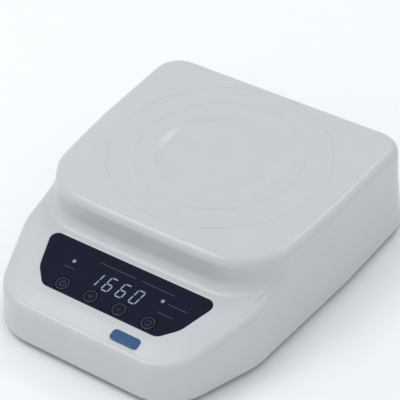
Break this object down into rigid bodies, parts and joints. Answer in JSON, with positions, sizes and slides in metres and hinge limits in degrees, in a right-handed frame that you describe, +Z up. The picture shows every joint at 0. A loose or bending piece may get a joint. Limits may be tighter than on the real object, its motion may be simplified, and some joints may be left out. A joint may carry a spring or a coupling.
{
  "type": "magnetic stirrer",
  "caption": "Compact magnetic stirrer with a raised vessel platform, a shallow round dish, a sloped digital control panel with press keys, and motor-driven magnets inside.",
  "frame": {"origin": "on the table, at the middle of the footprint's bounding box", "axes": "+X to the user's right, -Y towards the user and the control panel, +Z up"},
  "size_m": [0.1568, 0.19, 0.053],
  "materials": {
    "housing_plastic": "satin, finely textured off-white moulding",
    "base_plastic": "satin charcoal moulding",
    "foot_rubber": "matt black rubber",
    "zinc_steel": "bright zinc plate",
    "black_steel": "black oxide",
    "label_paper": "plain matt label stock",
    "badge_metal": "satin anodised plate",
    "panel_gloss": "smoked glossy acrylic",
    "key_gloss": "smoked glossy caps",
    "digit_light": "lit bluish white segments",
    "indicator_light": "lit bluish white light pipe",
    "display_black": "black display case",
    "board_green": "green solder mask",
    "component_black": "moulded black component plastic",
    "plunger_grey": "grey nylon",
    "bracket_steel": "zinc-passivated sheet steel",
    "grommet_rubber": "soft black rubber",
    "motor_steel": "drawn nickel-plated steel",
    "ferrite": "dark grey ferrite",
    "bronze": "sintered bronze",
    "shaft_steel": "ground steel",
    "core_steel": "varnished laminations",
    "holder_nylon": "natural moulded nylon",
    "magnet_nickel": "nickel-plated magnet",
    "capacitor_sleeve": "printed blue sleeve",
    "socket_nylon": "ivory nylon",
    "wire_red": "soft red insulation",
    "wire_grey": "grey ribbon insulation",
    "wire_black": "soft black insulation"
  },
  "bodies": {
    "housing": {"top_housing": "housing_plastic", "base_plate": "base_plastic", "foot_front_left": "foot_rubber", "foot_front_right": "foot_rubber", "foot_back_left": "foot_rubber", "foot_back_right": "foot_rubber", "base_screws": "zinc_steel", "rating_label": "label_paper", "badge": "badge_metal", "panel_lens": "panel_gloss", "display_digits": "digit_light", "led_power": "indicator_light", "led_run": "indicator_light", "display_module": "display_black", "control_pcb": "board_green", "tact_switches": "component_black", "pcb_screws": "zinc_steel", "motor_bracket": "bracket_steel", "bracket_screws": "zinc_steel", "grommets": "grommet_rubber", "motor_can": "motor_steel", "motor_end_cap": "component_black", "field_ring": "ferrite", "bush_top": "bronze", "bush_bottom": "bronze", "motor_screws": "zinc_steel", "driver_pcb": "board_green", "driver_screws": "zinc_steel", "capacitor": "capacitor_sleeve", "driver_chips": "component_black", "board_sockets": "socket_nylon", "speed_sensor": "component_black", "dc_jack": "component_black", "dc_jack_nut": "zinc_steel", "motor_lead": "wire_red", "panel_ribbon": "wire_grey", "dc_lead": "wire_black"},
    "rotor": {"motor_shaft": "shaft_steel", "rotor_core": "core_steel", "encoder_disc": "component_black", "magnet_holder": "holder_nylon", "yoke_plate": "bracket_steel", "magnet_north": "magnet_nickel", "magnet_south": "magnet_nickel", "holder_screw": "black_steel"},
    "key_power_body": {"key_power": "key_gloss", "plunger_power": "plunger_grey"},
    "key_minus_body": {"key_minus": "key_gloss", "plunger_minus": "plunger_grey"},
    "key_plus_body": {"key_plus": "key_gloss", "plunger_plus": "plunger_grey"},
    "key_mode_body": {"key_mode": "key_gloss", "plunger_mode": "plunger_grey"}
  },
  "joints": [
    {"name": "rotor_spin", "type": "hinge", "parent": "housing", "child": "rotor", "pos_m": [0, 0.029, 0.04], "axis": [0, 0, 1], "continuous": true},
    {"name": "press_power", "type": "slide", "parent": "housing", "child": "key_power_body", "axis": [0, 0.2045, -0.9789], "range_m": [0, 0.0005], "stiffness_N_per_m": 1500, "springref_m": -0.0002},
    {"name": "press_minus", "type": "slide", "parent": "housing", "child": "key_minus_body", "axis": [0, 0.2045, -0.9789], "range_m": [0, 0.0005], "stiffness_N_per_m": 1500, "springref_m": -0.0002},
    {"name": "press_plus", "type": "slide", "parent": "housing", "child": "key_plus_body", "axis": [0, 0.2045, -0.9789], "range_m": [0, 0.0005], "stiffness_N_per_m": 1500, "springref_m": -0.0002},
    {"name": "press_mode", "type": "slide", "parent": "housing", "child": "key_mode_body", "axis": [0, 0.2045, -0.9789], "range_m": [0, 0.0005], "stiffness_N_per_m": 1500, "springref_m": -0.0002}
  ]
}
